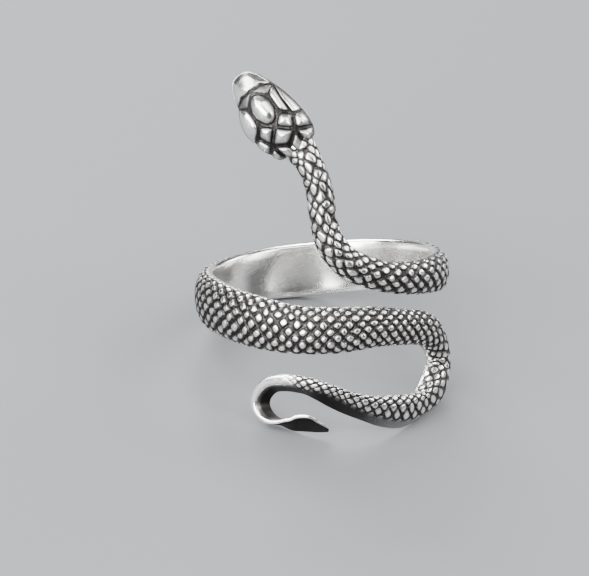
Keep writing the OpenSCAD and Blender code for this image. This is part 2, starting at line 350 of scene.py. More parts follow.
@dataclass
class SnakeBody:
    """The coil from the neck to the tip of the tail, with every scale raised on its back.

    The body is half_rows half scales wide. The other fields that end in rows are places in the
    path's table between which a form comes or goes.
    """

    finger: Finger
    path: Sequence[Sequence[float]] = PATH
    form: ScaleForm = ScaleForm()
    # The section: its points, its shoulders and its inside face
    half_rows: int = 10
    fine_steps: int = 5
    plain_steps: int = 3
    plain_below: float = 0.02
    bevel_points: int = 6
    inside_points: int = 5
    roundness: float = 0.9
    square_tail: float = 0.45
    shoulder: float = 0.34
    tail_slope: float = 0.45
    ridge_height: float = 0.8
    edge_share: float = 0.97
    inside_share: float = 0.8
    tail_inside_share: float = 0.97
    wall_rows: tuple[float, float] = (26.0, 29.0)
    rise_rows: tuple[float, float] = (27.0, 33.0)
    # The scales: where they fade out, where they grow and where they are laid loosely
    edge_relief: float = 0.4
    edge_reach: tuple[float, float] = (-0.6, 1.2)
    ridge_reach: tuple[float, float] = (9.2, 10.0)
    squeeze: tuple[float, float] = (0.0, 0.2)
    ridge_rows: tuple[float, float] = (24.0, 31.0)
    ridge_growth: float = 0.25
    neck_rows: tuple[float, float] = (5.0, 9.0)
    neck_growth: float = 0.16
    front_rows: tuple[float, float] = (11.0, 15.0)
    front_growth: float = 0.24
    bend_rows: tuple[float, float, float, float] = (24.5, 27.5, 30.5, 33.0)
    bend_growth: float = 0.65
    tail_rows: tuple[float, float] = (26.0, 30.0)
    tail_parts: tuple[float, float] = (0.55, 0.87)
    tail_density: tuple[float, float, float] = (0.85, 0.50, 0.35)
    seed: int = 7
    # Painted shade: the tail's outer wall, its ridge and the blade made dark in the colour, where the
    # real polished walls only look dark
    groove_fade: tuple[float, float] = (0.0, 0.4)
    wall_shade_rows: tuple[float, float] = (33.0, 37.0)
    early_wall_shade: float = 0.6
    tail_wall_shade: float = 1.05
    ridge_shade: float = 0.8
    ridge_side: tuple[float, float] = (0.97, 1.0)
    blade_rows: tuple[float, float] = (46.0, 50.0)
    blade_shade: float = 1.05
    blade_side: tuple[float, float] = (0.0, 0.4)

    def stations(self) -> tuple[np.ndarray, np.ndarray]:
        """Places of the sections along the path.

        Returns:
            The place of each section in the table, and its place in half scales.
        """
        rows = np.array(self.path)
        places = [0.0]
        while places[-1] < len(rows) - 1:
            t = np.array([places[-1]])
            speed = np.linalg.norm(self.heading(rows, t)[0])
            places.append(places[-1] + self.scale_length(rows, t)[0] / 2 / speed)
        places = np.array(places[:-1])
        relief = spline(rows, places)[:, RELIEF]
        t, u = [], []
        for i in range(len(places) - 1):
            steps = self.fine_steps if relief[i] > self.plain_below else self.plain_steps
            f = np.arange(steps) / steps
            t.extend(places[i] + f * (places[i + 1] - places[i]))
            u.extend(i + f)
        return np.array(t + [places[-1]]), np.array(u + [len(places) - 1.0])

    def ridged(self, t: np.ndarray) -> np.ndarray:
        """How far the outer edge has turned into a ridge, 0 on the band and 1 on the tail."""
        return smoothstep(t, *self.ridge_rows)

    def necked(self, t: np.ndarray) -> np.ndarray:
        """How near a place is to the head, 1 on the neck and 0 on the band."""
        return 1 - smoothstep(t, *self.neck_rows)

    def enlarged(self, t: np.ndarray) -> np.ndarray:
        """How much larger the scales are on the neck and on the front stretch after it."""
        front = (1 - self.necked(t)) * (1 - smoothstep(t, *self.front_rows))
        return self.neck_growth * self.necked(t) + self.front_growth * front

    def scale_length(self, rows: np.ndarray, t: np.ndarray) -> np.ndarray:
        """Length of the scales at places along the path.

        Args:
            rows: The path's table.
            t: The places.

        Returns:
            The lengths.
        """
        bend = smoothstep(t, *self.bend_rows[:2]) * (1 - smoothstep(t, *self.bend_rows[2:]))
        grown = self.ridge_growth * self.ridged(t) + self.enlarged(t)
        return spline(rows, t)[:, SCALE] * (1 + grown + self.bend_growth * bend)

    def across(self, v: np.ndarray, t: np.ndarray) -> np.ndarray:
        """Rows of scales across the body, fewer on the neck and towards the tail's outer edge.

        Args:
            v: Places across the body, evenly from 0 to half_rows, as a row.
            t: Places along the path, as a column.

        Returns:
            The places in half rows of scales.
        """
        inner, ridge = (part * self.half_rows for part in self.tail_parts)
        inside, middle, outside = self.tail_density
        tail = (inside * np.minimum(v, inner) + middle * np.clip(v - inner, 0, ridge - inner)
                + outside * np.clip(v - ridge, 0, None))
        fewer = self.enlarged(t) * (self.half_rows / 2 - v)
        return v + self.ridged(t) * (tail - v) + fewer

    def round_back(self, v: np.ndarray) -> np.ndarray:
        """Angles round the back, a quarter turn either way from its top, by place across it."""
        return np.pi * v / self.half_rows - np.pi / 2

    def flat(self, row: np.ndarray) -> np.ndarray:
        """Places laid out flat: distance round the finger and height along it."""
        return np.stack([np.radians(row[:, AROUND]) * self.finger.path_r, row[:, UP]], axis=1)

    def heading(self, rows: np.ndarray, t: np.ndarray) -> np.ndarray:
        """Direction and speed of the path in the flat layout."""
        step = 0.01
        return (self.flat(spline(rows, t + step)) - self.flat(spline(rows, t - step))) / (2 * step)

    def stretch(self, rows: np.ndarray, t: np.ndarray, v: np.ndarray) -> np.ndarray:
        """Length along the skin for each unit of the path.

        Args:
            rows: The path's table.
            t: Places along the path.
            v: Places across the body, evenly from 0 to half_rows, as a row.

        Returns:
            The lengths, under 1 inside a bend and over 1 outside it.
        """
        reach = 0.5
        before, after = self.heading(rows, t - reach), self.heading(rows, t + reach)
        turned = np.arctan2(before[:, 0] * after[:, 1] - before[:, 1] * after[:, 0],
                            (before * after).sum(axis=1))
        length = np.linalg.norm(before + after, axis=1) / 2
        offset = spline(rows, t)[:, [WIDTH]] / 2 * np.sin(self.round_back(v))
        return 1 - (turned / length)[:, None] * offset

    def relief(self, t: np.ndarray, u: np.ndarray, v: np.ndarray,
               share: np.ndarray) -> tuple[np.ndarray, np.ndarray]:
        """Depth of the grooves between the scales.

        Args:
            t: Places along the path, as a column.
            u: The same places in half scales, as a column.
            v: Places across the body, evenly from 0 to half_rows, as a row.
            share: Relief of the scales at each point, from 0 to 1.

        Returns:
            How far each point lies below the scales' tops, and the groove mask.
        """
        thin = np.maximum(self.necked(t), smoothstep(t, *self.tail_rows))
        drop, groove = self.form.drop(u, self.across(v, t), thin, self.necked(t), self.seed)
        edge = smoothstep(np.minimum(v, self.half_rows - v), *self.edge_reach)
        edge = blend(self.edge_relief, 1, edge)
        edge = edge * (1 - smoothstep(v, *self.ridge_reach) * self.ridged(t))
        return share * edge * drop, groove * smoothstep(share, *self.groove_fade)

    def sections(self, row: np.ndarray, t: np.ndarray) -> Sections:
        """Sizes of the sections.

        Args:
            row: Rows of the path's table at the sections.
            t: Places of the sections along the path.

        Returns:
            The sections' sizes and shares.
        """
        thick = row[:, [THICKNESS]]
        rise = smoothstep(t, *self.rise_rows)[:, None]
        walled = smoothstep(t, *self.wall_rows)[:, None]
        low = self.shoulder * (1 - self.tail_slope * walled) * thick
        high = blend(self.shoulder, self.ridge_height, rise) * thick
        return Sections(row[:, [WIDTH]] / 2, thick, np.clip(row[:, [RELIEF]], 0, 1),
                        row[:, [SEAT]], row[:, [SLANT]], rise, walled, low, high)

    def back(self, cut: Sections, v: np.ndarray, drop: np.ndarray) -> tuple[np.ndarray, np.ndarray]:
        """The arch of the back, from the inner shoulder to the outer one.

        Args:
            cut: The sections.
            v: Places across the body, evenly from 0 to half_rows, as a row.
            drop: How far each point lies below the scales' tops.

        Returns:
            Distances from the middle, and heights above the hole's wall.
        """
        turn = self.round_back(v)
        square = self.square_tail * (1 - cut.relief)
        foot = np.where(turn > 0, cut.high, cut.low)
        offset = np.sign(turn) * np.abs(np.sin(turn)) ** (1 - square) * (cut.half - drop)
        arch = np.clip(np.cos(turn), 0, 1) ** (self.roundness - square)
        return offset, blend(foot, cut.thick - drop, arch)

    def belly(self, cut: Sections) -> tuple[np.ndarray, np.ndarray]:
        """The rest of the section: a rounded edge, the inside face and the other rounded edge.

        Args:
            cut: The sections.

        Returns:
            Distances from the middle, and heights above the hole's wall.
        """
        trimmed = np.where(cut.seat < 0, cut.low / (cut.low - cut.seat), 1.0)
        kept = blend(self.inside_share, self.tail_inside_share, cut.walled)
        flat_half = cut.half * (1 - (1 - kept) * trimmed)
        floor = np.maximum(cut.seat, 0.0)
        # Each edge is a curve of three handles: the shoulder, a corner and the inside face
        f = (np.arange(1, self.bevel_points + 1) / self.bevel_points)[None, :]
        corner = cut.half * blend(self.edge_share, 1, cut.walled)
        bevel = (1 - f) ** 2 * cut.half + 2 * f * (1 - f) * corner + f**2 * flat_half
        fall = (1 - f) ** 2
        side = (1 - 2 * np.arange(1, self.inside_points + 1) / (self.inside_points + 1))[None, :]
        offset = np.concatenate([bevel, flat_half * side, -bevel[:, ::-1]], axis=1)
        above = np.concatenate([blend(floor, cut.high, fall), floor + 0 * side,
                                blend(floor, cut.low, fall)[:, ::-1]], axis=1)
        return offset, above

    def masks(self, cut: Sections, t: np.ndarray, v: np.ndarray,
              groove: np.ndarray) -> tuple[np.ndarray, np.ndarray]:
        """Where the whole skin is darkened, by oxide between the scales and by painted shade on the
        tail's walls, ridge and blade, and where it is the polished inside.

        Args:
            cut: The sections.
            t: Places of the sections along the path.
            v: Places across the body, evenly from 0 to half_rows, as a row.
            groove: The blackening between the scales, on the back alone.

        Returns:
            The groove mask, which holds the painted shade too, and the inside mask.
        """
        across = np.sin(self.round_back(v))
        # Painted shade: the blade's lower side and its wall, dark in the colour
        blade = self.blade_shade * smoothstep(t, *self.blade_rows)[:, None]
        # Painted shade: the outer wall below the tail's ridge, and the ridge's edge, dark in the colour
        late = smoothstep(t, *self.wall_shade_rows)[:, None]
        darkening = self.tail_wall_shade * cut.rise * blend(self.early_wall_shade, 1, late)
        lower = smoothstep(-across, *self.blade_side) * blade
        ridge = smoothstep(across, *self.ridge_side) * darkening * self.ridge_shade
        back = np.maximum(groove, np.maximum(lower, ridge))
        edge, face = np.ones((len(t), self.bevel_points)), np.ones((len(t), self.inside_points))
        smooth = (1 - cut.walled) * edge
        return (np.concatenate([back, darkening * edge, 0 * face, blade * edge], axis=1),
                np.concatenate([0 * back, smooth, face, smooth], axis=1))

    def section_points(self) -> tuple[np.ndarray, ...]:
        """Every point of the body's skin, in rings.

        Returns:
            Points by ring and place round the section, their groove mask with its painted shade, their
            inside mask, and the places of the rings along the path and in half scales.
        """
        rows = np.array(self.path)
        t, u = self.stations()
        row = spline(rows, t)
        cut = self.sections(row, t)
        v = np.linspace(0, self.half_rows, self.half_rows * self.fine_steps + 1)[None, :]
        share = cut.relief * smoothstep(self.stretch(rows, t, v), *self.squeeze)
        drop, groove = self.relief(t[:, None], u[:, None], v, share)
        offset, above = (np.concatenate(pair, axis=1)
                         for pair in zip(self.back(cut, v, drop), self.belly(cut)))
        offset = offset - cut.slant * (above - np.maximum(cut.seat, 0.0))

        heading = self.heading(rows, t)
        heading /= np.linalg.norm(heading, axis=1)[:, None]
        middle = self.flat(row)
        along = middle[:, 0:1] - heading[:, 1:2] * offset
        up = middle[:, 1:2] + heading[:, 0:1] * offset
        groove, inside = self.masks(cut, t, v, groove)
        return self.finger.wrap(along, up, above), groove, inside, t, u

    def triangles(self, t: np.ndarray, u: np.ndarray, columns: int) -> np.ndarray:
        """Triangles between the rings, each pair split along the groove that it lies by.

        Args:
            t: Places of the rings along the path.
            u: The same places in half scales.
            columns: Points round a ring.

        Returns:
            The triangles, anticlockwise seen from outside.
        """
        # The corners of each small square: a and b on one ring, d and e on the next
        r, c = np.meshgrid(np.arange(len(u) - 1), np.arange(columns), indexing="ij")
        k = (c + 1) % columns
        a, b = r * columns + c, r * columns + k
        d, e = (r + 1) * columns + c, (r + 1) * columns + k
        mid_u = (u[:-1] + u[1:])[:, None] / 2
        mid_v = self.across((c + 0.5) / self.fine_steps, t[:-1, None])
        p, q = (mid_u + mid_v) / 2, (mid_u - mid_v) / 2
        rising = np.abs(p - np.round(p)) > np.abs(q - np.round(q))
        one = np.stack([np.stack([a, d, b], -1), np.stack([b, d, e], -1)], -2)
        two = np.stack([np.stack([a, d, e], -1), np.stack([a, e, b], -1)], -2)
        return np.where(rising[..., None, None], one, two).reshape(-1, 3)

    def build(self, material: bpy.types.Material) -> bpy.types.Object:
        """Makes the body as one closed mesh.

        Args:
            material: The finish.

        Returns:
            The body.
        """
        rings, groove, inside, t, u = self.section_points()
        columns = rings.shape[1]
        faces = self.triangles(t, u, columns)
        points = rings.reshape(-1, 3)
        ends = np.stack([rings[0].mean(axis=0), rings[-1].mean(axis=0)])
        n, last = len(points), (len(u) - 1) * columns
        c = np.arange(columns)
        k = (c + 1) % columns
        caps = np.concatenate([np.stack([np.full_like(c, n), c, k], -1),
                               np.stack([np.full_like(c, n + 1), last + k, last + c], -1)])
        # The groove mask: oxide between the scales, and painted shade on the tail's walls, ridge and
        # blade
        masks = {OXIDE_AND_SHADE: np.append(groove.ravel(), [1, 0]), INSIDE: np.append(inside.ravel(), [0, 0])}
        return make_piece("snake_body", np.concatenate([points, ends]),
                          np.concatenate([faces, caps]), self.finger, masks, material)


def ring_faces(count: int, layers: int, outward: bool) -> np.ndarray:
    """Triangles of closed rings of points, one inside the other, and a last point in the middle.

    Args:
        count: Points in each ring.
        layers: Number of rings.
        outward: True if the rings run anticlockwise seen from outside.

    Returns:
        The triangles.
    """
    i = np.arange(count)
    j = (i + 1) % count
    faces = []
    for low in range(0, (layers - 1) * count, count):
        high = low + count
        faces += [np.stack([low + i, low + j, high + j], -1), np.stack([low + i, high + j, high + i], -1)]
    last = (layers - 1) * count
    faces.append(np.stack([last + i, last + j, np.full(count, last + count)], -1))
    faces = np.concatenate(faces)
    return faces if outward else faces[:, ::-1]


def distance(points: np.ndarray, starts: np.ndarray, ends: np.ndarray) -> np.ndarray:
    """Distance from each point to each of some straight edges.

    Args:
        points: The points.
        starts: Where the edges start.
        ends: Where they end.

    Returns:
        One row for each point, one column for each edge.
    """
    run = ends - starts
    off = points[:, None, :] - starts[None]
    share = np.clip((off * run).sum(-1) / (run * run).sum(-1), 0, 1)
    return np.linalg.norm(off - share[..., None] * run, axis=-1)


@dataclass(frozen=True)
class PlateForm:
    """Sizes and blackening of a sort of plate.

    The gap is half of the groove beside it, the reach is how far the blackening comes in from the
    groove, the darkening is its share on the whole plate, and the core the fully black share of the gap.
    """

    relief: float
    slope: float
    gap: float
    dome: float
    corner: float
    reach: float
    darkening: float = 0.0
    core: float = 0.6

    def inside(self, away: np.ndarray) -> np.ndarray:
        """Distance inside the plate, with its corners rounded.

        Args:
            away: Distance of each point from each edge of the plate.

        Returns:
            One distance for each point.
        """
        short = np.clip(self.corner - away, 0, None)
        rounded = self.corner - np.sqrt((short**2).sum(axis=1))
        return np.where(short.max(axis=1) > 0, rounded, away.min(axis=1))

    def height(self, inside: np.ndarray) -> np.ndarray:
        """Height of the plate over its groove.

        Args:
            inside: Distances from the groove's middle.

        Returns:
            The heights.
        """
        rise = np.clip((inside - self.gap) / self.slope, 0, 1)
        share = np.clip((inside - self.gap) / (inside.max() - self.gap), 0, 1)
        return self.relief * np.sqrt(1 - (1 - rise) ** 2) + self.dome * (1 - (1 - share) ** 2)

    def groove(self, inside: np.ndarray) -> np.ndarray:
        """Groove mask, by distance from the groove's middle."""
        mask = 1 - smoothstep(inside, self.gap * self.core, self.gap + self.reach)
        return np.maximum(mask, self.darkening)


class PlateKind(Enum):
    """The sorts of plate on the head."""

    CAP = PlateForm(0.20, 0.20, 0.08, 0.10, 0.30, 0.16)
    SHIELD = PlateForm(0.16, 0.22, 0.12, 0.32, 0.60, 0.44)
    BROW = PlateForm(0.18, 0.20, 0.06, 0.18, 0.30, 0.28)
    EDGE = PlateForm(0.20, 0.16, 0.04, 0.06, 0.15, 0.14)
    CHEEK = PlateForm(0.20, 0.26, 0.07, 0.30, 0.45, 0.20)
    NOTCH = PlateForm(0.05, 0.12, 0.06, 0.03, 0.15, 0.10, 0.8)
    SCALE = PlateForm(0.18, 0.18, 0.08, 0.28, 0.35, 0.46)


Corner = tuple[int, int]

# Corners of the head's plates: distance from the centre of the crown shield towards the snout,
# and distance to the right and to the left of the head's middle.
HEAD = (
    (3.25, -0.08, 0.08), (3.10, 0.52, 0.78), (2.62, 0.96, 1.20), (1.92, 1.30, 1.51),
    (1.20, 1.56, 1.75), (0.30, 1.87, 2.17), (-0.72, 2.10, 2.40), (-1.72, 2.22, 2.26),
    (-2.50, 2.24, 2.06), (-3.12, 2.12, 1.80), (-3.75, 1.75, 1.45),
    (1.65, 0.00, 0.00), (0.78, 0.95, 0.95), (-0.76, 0.95, 0.95), (-1.52, 0.00, 0.00),
    (-1.48, 1.64, 1.64), (-2.60, 1.12, 1.12), (-3.30, 0.00, 0.00), (-3.95, 0.95, 0.95),
    (-4.25, 0.00, 0.00), (1.64, 0.86, 0.86),
)
# The right half of the outline, from the snout to the middle of the nape, and the plates: those on
# the middle by the corners of their right half, the others by side, 1 for the right, -1 the left
OUTLINE = (0, 1, 2, 3, 4, 5, 6, 7, 8, 9, 10, 18, 19)
NAPE = 10
MID_PLATES = (
    (PlateKind.CAP, (11, 20, 4, 3, 2, 1, 0)),
    (PlateKind.SHIELD, (14, 13, 12, 11)),
    (PlateKind.SCALE, (17, 16, 14)),
)
SIDE_PLATES = (
    (PlateKind.NOTCH, (11, 12, 4, 20), (1, -1)),
    (PlateKind.BROW, (4, 12, 13, 15), (1,)),
    (PlateKind.EDGE, (4, 15, 7, 6, 5), (1,)),
    (PlateKind.CHEEK, (4, 12, 13, 15, 7, 6, 5), (-1,)),
    (PlateKind.SCALE, (13, 14, 16, 15), (1, -1)),
    (PlateKind.SCALE, (15, 16, 9, 8, 7), (1, -1)),
    (PlateKind.SCALE, (16, 18, 10, 9), (1, -1)),
    (PlateKind.SCALE, (17, 19, 18, 16), (1, -1)),
)


def round_loop(keys: Sequence[Corner]) -> list[tuple[Corner, Corner]]:
    """Each corner of a loop, paired with the next one."""
    return list(zip(keys, [*keys[1:], keys[0]]))


@dataclass
class Patch:
    """A piece of the head's skin: places on the chart, heights, triangles and groove mask."""

    flat: np.ndarray
    above: np.ndarray
    faces: np.ndarray
    groove: np.ndarray


@dataclass
class SnakeHead:
    """The flat triangular head, with its raised plates, its lip line and its plain underside."""

    finger: Finger
    nape_around: float = -10.0
    nape_height: float = 10.9
    head_turn: float = 37.0
    head_reach: float = 4.6
    # The dome under the plates: a steep rim, then a slow rise to the crown
    crown: float = 2.0
    jaw: float = 0.7
    snout_drop: float = 0.75
    nape_drop: float = 0.35
    rim: float = 0.30
    rim_share: float = 0.46
    rim_power: float = 0.85
    half_width: float = 2.0
    dome_power: float = 2.1
    # Darkening on the sides, oxide in part and painted shade in part, and how far up the rim it fades out
    flank_oxide_and_shade: float = 0.92
    snout_polish: tuple[float, float] = (1.3, 2.0)
    rim_fade: tuple[float, float] = (0.1, 0.6)
    side_oxide_and_shade: float = 0.5
    # Rings of points on the plates, by their distance from the edge
    grain: float = 0.045
    groove_depth: float = 0.03
    ring_offsets: Sequence[float] = (0.0, 0.03, 0.06, 0.09, 0.12, 0.15, 0.19, 0.23, 0.28, 0.34, 0.42)
    inner_rings: int = 8
    # Rings below the plates, by inset from the outline: down the side, by share of the way to the
    # lip line, then from the lip line to the chin, by height and blackening
    side_rings: Sequence[tuple[float, float]] = ((0.0, 0.0), (-0.03, 0.25), (-0.05, 0.55), (-0.04, 0.85))
    lip_rings: Sequence[tuple[float, float, float]] = (
        (0.03, 0.42, 1.0), (-0.02, 0.36, 0.4), (-0.02, 0.28, 0.0),
        (0.08, 0.19, 0.0), (0.22, 0.13, 0.0), (0.45, 0.12, 0.0),
    )
    chin_rings: Sequence[float] = (0.35, 0.7)
    ring: list[Corner] = field(init=False)
    outline: np.ndarray = field(init=False)

    def __post_init__(self) -> None:
        """Works out the outline's corners and points."""
        self.ring = self.both_halves(OUTLINE)
        self.outline = self.loop(self.ring)

    def corner(self, key: Corner) -> np.ndarray:
        """Place of a corner of the chart, on its own side of the head."""
        ahead, right, left = HEAD[key[0]]
        return np.array([ahead, -left if key[1] < 0 else right])

    @staticmethod
    def keys(ids: Sequence[int], side: int) -> list[Corner]:
        """The corners of one side, with side 0 for those on the middle."""
        return [(i, side if HEAD[i][1] > 0 else 0) for i in ids]

    def both_halves(self, ids: Sequence[int]) -> list[Corner]:
        """The corners of the right half, followed by those of the left half in turn."""
        right = self.keys(ids, 1)
        return right + [(i, -s) for i, s in reversed(right) if s]

    def on_outline(self, start: Corner, end: Corner) -> bool:
        """True if the two corners are neighbours on the outline."""
        return any({start, end} == set(pair) for pair in round_loop(self.ring))

    def edge(self, start: Corner, end: Corner) -> np.ndarray:
        """Points from one corner to before the next, curved where the edge is on the outline.

        Args:
            start: First corner.
            end: Last corner, which isn't returned.

        Returns:
            The points of the edge.
        """
        first, last = sorted((start, end))
        a, b = self.corner(first), self.corner(last)
        count = max(2, math.ceil(np.linalg.norm(b - a) / self.grain))
        f = np.arange(count + 1) / count
        if self.on_outline(first, last):
            i, j = self.ring.index(first), self.ring.index(last)
            step = 1 if (j - i) % len(self.ring) == 1 else -1
            near = [self.corner(self.ring[(i + step * s) % len(self.ring)]) for s in (-1, 0, 1, 2)]
            points = spline(np.array(near), 1 + f)
        else:
            points = blend(a, b, f[:, None])
        return points[:-1] if first == start else points[::-1][:-1]

    def loop(self, keys: Sequence[Corner]) -> np.ndarray:
        """The points all round a plate."""
        return np.concatenate([self.edge(*pair) for pair in round_loop(keys)])

    def from_outline(self, points: np.ndarray) -> np.ndarray:
        """Distance of each point of the chart from the outline."""
        return distance(points, self.outline, np.roll(self.outline, -1, axis=0)).min(axis=1)

    def flank(self, ahead: np.ndarray) -> np.ndarray:
        """Darkening low on the head's sides but not on its snout: oxide in part, painted shade in part.
        """
        return self.flank_oxide_and_shade * (1 - smoothstep(ahead, *self.snout_polish))

    def base(self, points: np.ndarray, inside: np.ndarray) -> np.ndarray:
        """Height of the head above the hole's wall without its plates: a steep rim and a dome.

        Args:
            points: Places on the chart.
            inside: Their distance from the outline.

        Returns:
            The heights.
        """
        a = points[:, 0]
        ahead, behind = np.clip(a / HEAD[0][0], 0, 1), np.clip(a / HEAD[NAPE][0], 0, 1)
        top = self.crown - self.snout_drop * ahead**2 - self.nape_drop * behind**2
        slope = self.rim_share * np.clip(inside / self.rim, 0, 1) ** self.rim_power
        rest = 1 - np.clip((inside - self.rim) / (self.half_width - self.rim), 0, 1)
        dome = (1 - self.rim_share) * (1 - rest**self.dome_power)
        return blend(self.jaw, top, slope + np.where(inside > self.rim, dome, 0))

    def place(self, points: np.ndarray, above: np.ndarray) -> np.ndarray:
        """Points of the chart, on the plane that touches the hole's wall at the nape.

        Args:
            points: Places on the chart.
            above: Heights above the plane.

        Returns:
            Points in the finger's frame, in millimetres.
        """
        around, lean = math.radians(self.nape_around), math.radians(self.head_turn)
        out = np.array([math.sin(around), -math.cos(around), 0])
        right = np.array([math.cos(around), math.sin(around), 0])
        up = np.array([0.0, 0.0, 1.0])
        ahead = math.cos(lean) * up - math.sin(lean) * right
        aside = math.cos(lean) * right + math.sin(lean) * up
        return ((self.finger.hole_r + above)[:, None] * out + self.nape_height * up
                + (self.head_reach + points[:, :1]) * ahead + points[:, 1:] * aside)

    def plate(self, kind: PlateKind, keys: Sequence[Corner]) -> Patch:
        """One raised plate, with a groove along every edge that it shares.

        Args:
            kind: The sort of plate.
            keys: Its corners.

        Returns:
            The plate's skin.
        """
        form = kind.value
        loop = self.loop(keys)
        centre = loop.mean(axis=0)
        reach = np.linalg.norm(centre - loop, axis=1).mean()
        near = np.array(self.ring_offsets) / reach
        shares = np.concatenate([near, np.linspace(near[-1], 1, self.inner_rings + 2)[1:-1]])
        flat = np.concatenate([blend(loop, centre, share) for share in shares] + [centre[None]])
        shared = [pair for pair in round_loop(keys) if not self.on_outline(*pair)]
        starts, ends = (np.array([self.corner(pair[i]) for pair in shared]) for i in (0, 1))
        from_groove, from_rim = form.inside(distance(flat, starts, ends)), self.from_outline(flat)
        groove = form.groove(from_groove)
        above = self.base(flat, from_rim) + form.height(from_groove) - self.groove_depth * groove
        fade = (share * self.rim for share in self.rim_fade)
        # Darkening near the outline on the sides: oxide in part, painted shade in part
        rim = self.flank(flat[:, 0]) * (1 - smoothstep(from_rim, *fade))
        return Patch(flat, above, ring_faces(len(loop), len(shares), True), np.maximum(groove, rim))

    def underside(self, plates: Sequence[Patch]) -> Patch:
        """The sides of the head below the plates, with their lip line, and the plain underside.

        Args:
            plates: The plates, which give the height and groove mask all along the outline.

        Returns:
            The skin of the sides and the underside.
        """
        digits = 5
        known = {}
        for patch in plates:
            for point, height, dark in zip(patch.flat, patch.above, patch.groove):
                known[tuple(np.round(point, digits))] = (height, dark)
        top, mask = np.array([known[tuple(np.round(point, digits))] for point in self.outline]).T
        inward = -self.outline / np.linalg.norm(self.outline, axis=1)[:, None]
        flank = self.flank(self.outline[:, 0])
        lip, chin = self.lip_rings[0][1], self.lip_rings[-1][1]
        flat, above, groove = [], [], []
        for inset, share in self.side_rings:
            flat.append(self.outline + inward * inset)
            above.append(blend(top, lip, share))
            # Darker down the sides towards the lip line: oxide in part, painted shade in part
            wash = self.side_oxide_and_shade * share
            groove.append(np.maximum(mask * (1 - wash), np.maximum(flank, wash)))
        for inset, height, dark in self.lip_rings:
            flat.append(self.outline + inward * inset)
            above.append(np.full(len(top), height))
            groove.append(np.full(len(top), dark))
        edge = flat[-1]
        for share in self.chin_rings:
            flat.append(edge * (1 - share))
            above.append(above[-1])
            groove.append(groove[-1])
        faces = ring_faces(len(top), len(flat), False)
        return Patch(np.concatenate(flat + [np.zeros((1, 2))]), np.append(np.concatenate(above), chin),
                     faces, np.append(np.concatenate(groove), 0.0))

    def build(self, material: bpy.types.Material) -> bpy.types.Object:
        """Makes the head as one closed mesh, its plates joined along their grooves.

        Args:
            material: The finish.

        Returns:
            The head.
        """
        chosen = [(kind, self.both_halves(ids)) for kind, ids in MID_PLATES]
        for kind, ids, sides in SIDE_PLATES:
            chosen += [(kind, self.keys(ids, side)[::side]) for side in sides]
        patches = [self.plate(kind, keys) for kind, keys in chosen]
        patches.append(self.underside(patches))
        starts = np.cumsum([0] + [len(patch.flat) for patch in patches])
        points = np.concatenate([self.place(patch.flat, patch.above) for patch in patches])
        faces = np.concatenate([patch.faces + start for patch, start in zip(patches, starts)])
        groove = np.concatenate([patch.groove for patch in patches])
        points, faces, groove = weld(points, faces, groove)
        # The groove mask: oxide in the grooves, and on the sides oxide in part, painted shade in part
        masks = {OXIDE_AND_SHADE: groove, INSIDE: np.zeros(len(points))}
        return make_piece("snake_head", points, faces, self.finger, masks, material)


def weld(points: np.ndarray, faces: np.ndarray,
         mask: np.ndarray) -> tuple[np.ndarray, np.ndarray, np.ndarray]:
    """Joins points that lie on each other.

    Args:
        points: Points, in millimetres.
        faces: Triangles by point.
        mask: A value at each point.

    Returns:
        The points, triangles and mask with no doubles.
    """
    digits = 4
    grid = np.round(points, digits)
    _, first, renumber = np.unique(grid, axis=0, return_index=True, return_inverse=True)
    faces = renumber.reshape(-1)[faces]
    kept = (faces[:, 0] != faces[:, 1]) & (faces[:, 1] != faces[:, 2]) & (faces[:, 2] != faces[:, 0])
    return points[first], faces[kept], mask[first]


